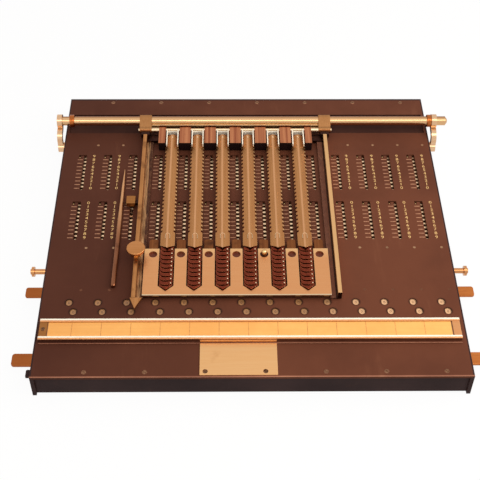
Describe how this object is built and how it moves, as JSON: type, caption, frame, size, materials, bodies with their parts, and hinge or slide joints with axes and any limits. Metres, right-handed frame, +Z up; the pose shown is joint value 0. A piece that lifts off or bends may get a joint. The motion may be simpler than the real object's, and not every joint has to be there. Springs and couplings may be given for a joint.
{
  "type": "mechanical calculator",
  "caption": "Flat calculating board with toothed racks under a slotted top, a lifting carriage of sliding prismatic bars on a guide rod, a ruler and a stylus.",
  "frame": {"origin": "on the table, under the middle of the case", "axes": "+X to the right along the guide rod, +Y from the ruler to the guide rod, +Z up"},
  "size_m": [0.487, 0.425, 0.051],
  "materials": {
    "board_brown": "satin lacquer",
    "dark_brown": "satin lacquer",
    "brass": "polished, aged",
    "copper": "brushed copper tone",
    "dark_bronze": "browned",
    "ivory": "aged ivory",
    "steel": "dull"
  },
  "bodies": {
    "case": {"base_plate": "dark_brown", "left_cheek": "board_brown", "right_cheek": "board_brown", "front_wall": "dark_brown", "rear_wall": "dark_brown", "rack_bed": "steel", "top_plate": "board_brown", "rear_cover": "board_brown", "ruler_channel": "board_brown", "ruler_rails": "brass", "ruler_end_blocks": "copper", "ruler": "ivory", "nameplate": "brass", "cover_screws": "steel", "column_screws": "steel", "guide_rod": "brass", "left_rod_arm": "brass", "right_rod_arm": "brass", "rod_collars": "copper", "catch_lug": "dark_brown"},
    "truck": {"carriage_blocks": "steel", "tie_bar": "brass", "hinge_rod": "brass"},
    "carriage": {"hinge_comb": "copper", "left_rail": "brass", "right_rail": "brass", "rail_strips": "dark_bronze", "cross_bars": "dark_bronze", "front_plate": "brass", "core_rails": "dark_bronze", "bar_guides": "brass", "knob_base": "brass", "pointer": "brass", "lifting_tab": "brass"},
    "bar_1": {"bar_1": "brass"},
    "bar_2": {"bar_2": "brass"},
    "bar_3": {"bar_3": "brass"},
    "bar_4": {"bar_4": "brass"},
    "bar_5": {"bar_5": "brass"},
    "bar_6": {"bar_6": "brass"},
    "rack_01": {"rack_01": "brass"},
    "rack_02": {"rack_02": "brass"},
    "rack_03": {"rack_03": "brass"},
    "rack_04": {"rack_04": "brass"},
    "rack_05": {"rack_05": "brass"},
    "rack_06": {"rack_06": "brass"},
    "rack_07": {"rack_07": "brass"},
    "rack_08": {"rack_08": "brass"},
    "rack_09": {"rack_09": "brass"},
    "rack_10": {"rack_10": "brass"},
    "rack_11": {"rack_11": "brass"},
    "rack_12": {"rack_12": "brass"},
    "rack_13": {"rack_13": "brass"},
    "rack_14": {"rack_14": "brass"},
    "thumb_knob": {"thumb_knob": "brass"},
    "decimal_peg": {"decimal_peg": "brass"},
    "stylus": {"stylus": "brass"},
    "front_slide_bar": {"front_slide_bar": "brass"},
    "rear_slide_bar": {"rear_slide_bar": "brass"},
    "push_rod": {"push_rod": "brass"}
  },
  "joints": [
    {"name": "carriage_slide", "type": "slide", "parent": "case", "child": "truck", "axis": [1, 0, 0], "range_m": [0, 0.09]},
    {"name": "carriage_lift", "type": "hinge", "parent": "truck", "child": "carriage", "pos_m": [0, 0.14335, 0.0395], "axis": [-1, 0, 0], "range_deg": [0, 85]},
    {"name": "bar_1_slide", "type": "slide", "parent": "carriage", "child": "bar_1", "axis": [0, -1, 0], "range_m": [0, 0.054]},
    {"name": "bar_2_slide", "type": "slide", "parent": "carriage", "child": "bar_2", "axis": [0, -1, 0], "range_m": [0, 0.054]},
    {"name": "bar_3_slide", "type": "slide", "parent": "carriage", "child": "bar_3", "axis": [0, -1, 0], "range_m": [0, 0.054]},
    {"name": "bar_4_slide", "type": "slide", "parent": "carriage", "child": "bar_4", "axis": [0, -1, 0], "range_m": [0, 0.054]},
    {"name": "bar_5_slide", "type": "slide", "parent": "carriage", "child": "bar_5", "axis": [0, -1, 0], "range_m": [0, 0.054]},
    {"name": "bar_6_slide", "type": "slide", "parent": "carriage", "child": "bar_6", "axis": [0, -1, 0], "range_m": [0, 0.054]},
    {"name": "knob_turn", "type": "hinge", "parent": "carriage", "child": "thumb_knob", "pos_m": [-0.1225, -0.05782, 0.0413], "axis": [0, 0, -1], "range_deg": [0, 270]},
    {"name": "peg_lift", "type": "slide", "parent": "carriage", "child": "decimal_peg", "axis": [0, 0, 1], "range_m": [0, 0.012]},
    {"name": "stylus_lift", "type": "slide", "parent": "case", "child": "stylus", "axis": [0, 0, 1], "range_m": [0, 0.08]},
    {"name": "front_bar_slide", "type": "slide", "parent": "case", "child": "front_slide_bar", "axis": [1, 0, 0], "range_m": [-0.012, 0.012]},
    {"name": "rear_bar_slide", "type": "slide", "parent": "case", "child": "rear_slide_bar", "axis": [1, 0, 0], "range_m": [-0.012, 0.012]},
    {"name": "push_rod_slide", "type": "slide", "parent": "case", "child": "push_rod", "axis": [1, 0, 0], "range_m": [-0.01, 0.01]},
    {"name": "rack_01_slide", "type": "slide", "parent": "case", "child": "rack_01", "axis": [0, -1, 0], "range_m": [0, 0.054]},
    {"name": "rack_02_slide", "type": "slide", "parent": "case", "child": "rack_02", "axis": [0, -1, 0], "range_m": [0, 0.054]},
    {"name": "rack_03_slide", "type": "slide", "parent": "case", "child": "rack_03", "axis": [0, -1, 0], "range_m": [0, 0.054]},
    {"name": "rack_04_slide", "type": "slide", "parent": "case", "child": "rack_04", "axis": [0, -1, 0], "range_m": [0, 0.054]},
    {"name": "rack_05_slide", "type": "slide", "parent": "case", "child": "rack_05", "axis": [0, -1, 0], "range_m": [0, 0.054]},
    {"name": "rack_06_slide", "type": "slide", "parent": "case", "child": "rack_06", "axis": [0, -1, 0], "range_m": [0, 0.054]},
    {"name": "rack_07_slide", "type": "slide", "parent": "case", "child": "rack_07", "axis": [0, -1, 0], "range_m": [0, 0.054]},
    {"name": "rack_08_slide", "type": "slide", "parent": "case", "child": "rack_08", "axis": [0, -1, 0], "range_m": [0, 0.054]},
    {"name": "rack_09_slide", "type": "slide", "parent": "case", "child": "rack_09", "axis": [0, -1, 0], "range_m": [0, 0.054]},
    {"name": "rack_10_slide", "type": "slide", "parent": "case", "child": "rack_10", "axis": [0, -1, 0], "range_m": [0, 0.054]},
    {"name": "rack_11_slide", "type": "slide", "parent": "case", "child": "rack_11", "axis": [0, -1, 0], "range_m": [0, 0.054]},
    {"name": "rack_12_slide", "type": "slide", "parent": "case", "child": "rack_12", "axis": [0, -1, 0], "range_m": [0, 0.054]},
    {"name": "rack_13_slide", "type": "slide", "parent": "case", "child": "rack_13", "axis": [0, -1, 0], "range_m": [0, 0.054]},
    {"name": "rack_14_slide", "type": "slide", "parent": "case", "child": "rack_14", "axis": [0, -1, 0], "range_m": [0, 0.054]}
  ]
}
